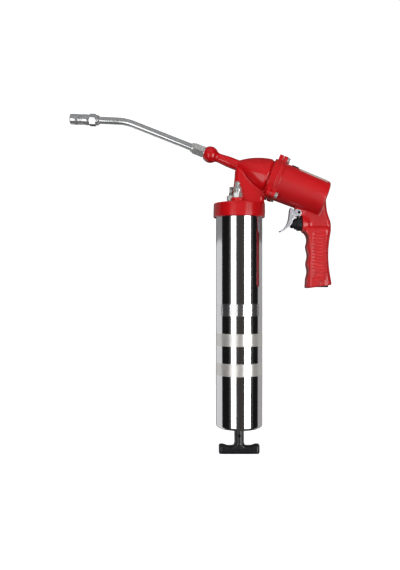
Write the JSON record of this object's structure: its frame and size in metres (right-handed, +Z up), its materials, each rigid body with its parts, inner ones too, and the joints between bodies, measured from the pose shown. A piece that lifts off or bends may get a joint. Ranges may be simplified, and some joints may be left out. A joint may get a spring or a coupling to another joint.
{
  "type": "air operated grease gun",
  "caption": "Pistol-grip air grease gun: upright chrome barrel with T-handle follower rod, red head and air cylinder, bent delivery pipe and grease coupler.",
  "frame": {"origin": "on the barrel's axis at the lower rim of the cap", "axes": "+Z up the barrel towards the head, +X towards the pistol grip, +Y completes the right hand"},
  "size_m": [0.3155, 0.0624, 0.4113],
  "materials": {
    "red_enamel": "glossy red enamel on the castings",
    "chrome_barrel": "bright chrome with satin knurled bands",
    "chrome_lever": "bright chrome plate",
    "nickel_pipe": "dull nickel plate",
    "zinc_steel": "zinc plate",
    "dark_steel": "oiled dark steel",
    "bright_steel": "ground steel",
    "spring_steel": "drawn spring wire",
    "black_plastic": "black moulded plastic",
    "label_foil": "bare satin foil plate",
    "brass_fitting": "plain brass",
    "piston_alloy": "turned alloy",
    "rubber_seal": "black nitrile rubber"
  },
  "bodies": {
    "gun": {"barrel_tube": "chrome_barrel", "bleeder_body": "zinc_steel", "bleeder_spring": "spring_steel", "cap_gasket": "rubber_seal", "check_spring": "spring_steel", "coupler_body": "nickel_pipe", "coupler_sleeve": "nickel_pipe", "coupler_spring": "spring_steel", "cylinder_and_grip": "red_enamel", "delivery_pipe": "nickel_pipe", "exhaust_cover": "black_plastic", "filler_body": "zinc_steel", "filler_spring": "spring_steel", "flange_gasket": "rubber_seal", "flange_screws": "zinc_steel", "follower_spring": "spring_steel", "head_casting": "red_enamel", "inlet_bushing": "dark_steel", "inlet_screen": "brass_fitting", "label_plate": "label_foil", "outlet_adapter": "zinc_steel", "outlet_seal": "brass_fitting", "packing_nut": "brass_fitting", "pin_clip": "zinc_steel", "plunger_packing": "rubber_seal", "return_spring": "spring_steel", "rod_bushing": "black_plastic", "screw_washers": "zinc_steel", "trigger_pin": "zinc_steel", "valve_body": "black_plastic", "valve_spring": "spring_steel"},
    "follower": {"follower_rod": "bright_steel", "rod_nut": "zinc_steel", "follower_plate": "bright_steel", "follower_cup": "rubber_seal", "spring_seat": "bright_steel", "t_handle": "black_plastic", "handle_pin": "dark_steel"},
    "trigger": {"trigger": "chrome_lever"},
    "valve": {"valve_stem": "bright_steel", "valve_button": "black_plastic", "poppet_seal": "rubber_seal"},
    "piston": {"air_piston": "piston_alloy", "piston_seal": "rubber_seal", "piston_nut": "zinc_steel", "plunger": "bright_steel"},
    "bleeder": {"bleeder_pin": "zinc_steel", "bleeder_seal": "rubber_seal"},
    "check_ball": {"check_ball": "bright_steel"},
    "filler_ball": {"filler_ball": "bright_steel"},
    "jaws": {"coupler_jaws": "bright_steel", "coupler_seal": "rubber_seal"}
  },
  "joints": [
    {"name": "follower_slide", "type": "slide", "parent": "gun", "child": "follower", "axis": [0, 0, -1], "range_m": [0, 0.2], "stiffness_N_per_m": 250, "springref_m": -0.06, "deforming": ["follower_spring"]},
    {"name": "trigger_hinge", "type": "hinge", "parent": "gun", "child": "trigger", "pos_m": [0.07145, 0, 0.00602], "axis": [0, -1, 0], "range_deg": [0, 12], "stiffness_Nm_per_rad": 0.4, "springref_deg": -8.59},
    {"name": "valve_slide", "type": "slide", "parent": "gun", "child": "valve", "axis": [1, 0, 0], "range_m": [0, 0.00231], "deforming": ["valve_spring"]},
    {"name": "piston_slide", "type": "slide", "parent": "gun", "child": "piston", "axis": [-0.9304, 0, 0.3665], "range_m": [0, 0.028], "stiffness_N_per_m": 900, "springref_m": -0.015, "deforming": ["return_spring"]},
    {"name": "bleeder_press", "type": "slide", "parent": "gun", "child": "bleeder", "axis": [0, 0, -1], "range_m": [0, 0.0025], "stiffness_N_per_m": 600, "springref_m": -0.002, "deforming": ["bleeder_spring"]},
    {"name": "check_ball_lift", "type": "slide", "parent": "gun", "child": "check_ball", "axis": [-0.9304, 0, 0.3665], "range_m": [0, 0.002], "stiffness_N_per_m": 300, "springref_m": -0.002, "deforming": ["check_spring"]},
    {"name": "filler_ball_press", "type": "slide", "parent": "gun", "child": "filler_ball", "axis": [0, 0, -1], "range_m": [0, 0.001], "stiffness_N_per_m": 100, "springref_m": -0.001, "deforming": ["filler_spring"]},
    {"name": "jaws_slide", "type": "slide", "parent": "gun", "child": "jaws", "axis": [0.9991, 0, -0.0419], "range_m": [0, 0.0012], "stiffness_N_per_m": 800, "springref_m": -0.002, "deforming": ["coupler_spring"]}
  ],
  "couplings": [
    {"joint": "valve_slide", "follows": "trigger_hinge", "m_per_rad": 0.011}
  ]
}
